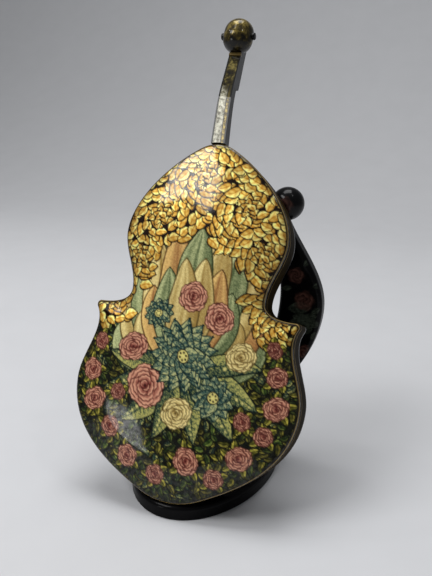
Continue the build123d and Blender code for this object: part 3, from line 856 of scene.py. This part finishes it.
lidMesh = bpy.data.meshes.new("lid_painted")
lidMesh.from_pydata([tuple(point) for point in (lidPoints * mm).tolist()], [], paintedFaces + liningFaces)
lidMesh.transform(boxPlace)
paintLayer = lidMesh.color_attributes.new("painting", "FLOAT_COLOR", "POINT")
colours = np.zeros((len(lidPoints), 4))
colours[:len(paintedFlat), :3] = straight(np.clip(picture.colour, 0, 1))
colours[:len(paintedFlat), 3] = picture.gilt
paintLayer.data.foreach_set("color", colours.ravel())
lidMesh.polygons.foreach_set("material_index", [0] * len(paintedFaces) + [1] * len(liningFaces))
lidMesh.shade_smooth()
lidMesh.set_sharp_from_angle(angle=radians(lid["smoothBelow"]))


varnish = {"coat": {"Coat Roughness": 0.07, "Coat IOR": 1.46, "Specular IOR Level": 0.02}, "brush": 1.1,
           "patch": 1.6, "shine": (0.4, 0.7), "rubbed": 0.85, "cornerAcross": (32, 36),
           "cornerFoot": (67, 70), "cornerTop": (90, 86)}


def paintedLacquer():                                     # painting and gilding under clear varnish
    finish = Finish("painted_lacquer")
    layer = {"attribute_name": "painting"}
    painted = finish.node("ShaderNodeAttribute", layer, None, "Color")
    gilt = finish.node("ShaderNodeAttribute", layer, None, "Alpha")
    place = finish.place()
    brush = finish.noise(place, varnish["brush"], 3, 0.6) * 0.5 + 0.75
    marks = finish.node("ShaderNodeCombineColor", None, {0: brush, 1: brush, 2: brush})
    colour = finish.mix(1.0, painted, marks, "MULTIPLY")
    patches = finish.noise(place, varnish["patch"], 4, 0.7).between(0.36, 0.64)    # it shines unevenly
    across, up, _ = finish.boxAxes()
    corners = up.between(*varnish["cornerFoot"]) * up.between(*varnish["cornerTop"])    # duller there
    rubbed = abs(across).between(*varnish["cornerAcross"]) * corners * varnish["rubbed"]
    shine = varied(varnish["shine"], patches) * (1 - rubbed)
    return lacquered(finish, colour, 0.4, gilt * 0.4, 0.1, varnish["coat"] | {"Coat Weight": shine})


lidMesh.materials.append(paintedLacquer())
lidMesh.materials.append(redLacquer)
lidPainted = bpy.data.objects.new("lid_painted", lidMesh)
bpy.context.scene.collection.objects.link(lidPainted)
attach(lidPainted, "lid")
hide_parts("lid_panel")
print("lid:", len(paintedFaces) + len(liningFaces), "faces")


# Table top that curves up into the wall behind
table = {"halfWidth": 1.6, "front": -0.9, "bend": 0.55, "bendRadius": 0.75, "top": 1.6, "steps": 16,
         "pale": tint(212, 213, 216), "dark": tint(206, 207, 210), "cloud": 30}


def tableTop():
    profile, bend = [(table["front"], 0.0)], table["bendRadius"]
    for step in range(table["steps"] + 1):
        angle = 0.5 * pi * step / table["steps"]
        profile.append((table["bend"] + bend * sin(angle), bend * (1 - cos(angle))))
    profile.append((profile[-1][0], table["top"]))
    points = [(side * table["halfWidth"], y, z) for y, z in profile for side in (-1, 1)]
    faces = [(2 * i, 2 * i + 1, 2 * i + 3, 2 * i + 2) for i in range(len(profile) - 1)]
    mesh = bpy.data.meshes.new("table_top")
    mesh.from_pydata(points, [], faces)
    mesh.shade_smooth()
    finish = Finish("table_paper")
    cloud = finish.noise(finish.place(), table["cloud"], 3)
    mesh.materials.append(finish.surface({"Base Color": finish.mix(cloud, table["dark"], table["pale"]),
                                          "Roughness": cloud * 0.1 + 0.7}))
    top = bpy.data.objects.new("table_top", mesh)
    bpy.context.scene.collection.objects.link(top)


tableTop()

studio = {
    "sky": (0.62, 0.628, 0.638, 1.0), "skyStrength": 0.28,
    "lamps": {                                            # place, aim and size in metres, power in watts
        "keySoftbox": {"place": (-0.5, -0.54, 0.92), "aim": (0, 0, 0.1), "size": (0.56, 0.36), "power": 5.6},
        "topSoftbox": {"place": (-0.08, 0.17, 1.05), "aim": (0, 0, 0.05), "size": (0.65, 0.5), "power": 6.1},
        "leftPanel": {"place": (-0.69, -0.08, 0.86), "aim": (0, 0, 0.15), "size": (0.065, 0.065),
                      "power": 0.4},
        "rightPanel": {"place": (0.51, -0.12, 1.0), "aim": (0, 0, 0.15), "size": (0.065, 0.065),
                       "power": 0.4},
        "leftWindow": {"place": (-0.6, -0.92, 0.12), "aim": (0, 0, 0.08), "size": (0.27, 0.21), "power": 0.65,
                       "shape": "ELLIPSE"},
    },
    "camera": {"place": (0.1036, -0.2745, 0.1694), "pitch": 73.89, "yaw": 20.12, "roll": 0.46, "lens": 43.75,
               "sensor": 36.0, "clip": 0.01},
}


def lightStudio():
    for name, lamp in studio["lamps"].items():
        light = bpy.data.lights.new(name, "AREA")
        light.shape, light.energy = lamp.get("shape", "RECTANGLE"), lamp["power"]
        light.size, light.size_y = lamp["size"]
        holder = bpy.data.objects.new(name, light)
        holder.location = lamp["place"]
        beam = Vector(lamp["aim"]) - Vector(lamp["place"])
        holder.rotation_euler = beam.to_track_quat("-Z", "Y").to_euler()
        bpy.context.scene.collection.objects.link(holder)
    world = bpy.data.worlds.new("studio")
    world.use_nodes = True
    sky = world.node_tree.nodes["Background"]
    sky.inputs["Color"].default_value = studio["sky"]
    sky.inputs["Strength"].default_value = studio["skyStrength"]
    bpy.context.scene.world = world


def setCamera():
    look = studio["camera"]
    lens = bpy.data.cameras.new("camera")
    lens.lens, lens.sensor_width, lens.clip_start = look["lens"], look["sensor"], look["clip"]
    camera = bpy.data.objects.new("camera", lens)
    camera.location = look["place"]
    turns = [Matrix.Rotation(radians(look[key]), 3, axis)
             for key, axis in (("yaw", "Z"), ("pitch", "X"), ("roll", "Z"))]
    camera.rotation_euler = (turns[0] @ turns[1] @ turns[2]).to_euler()
    bpy.context.scene.collection.objects.link(camera)
    bpy.context.scene.camera = camera


lightStudio()
setCamera()
bpy.context.scene.view_settings.view_transform = "Standard"
print("studio ready")
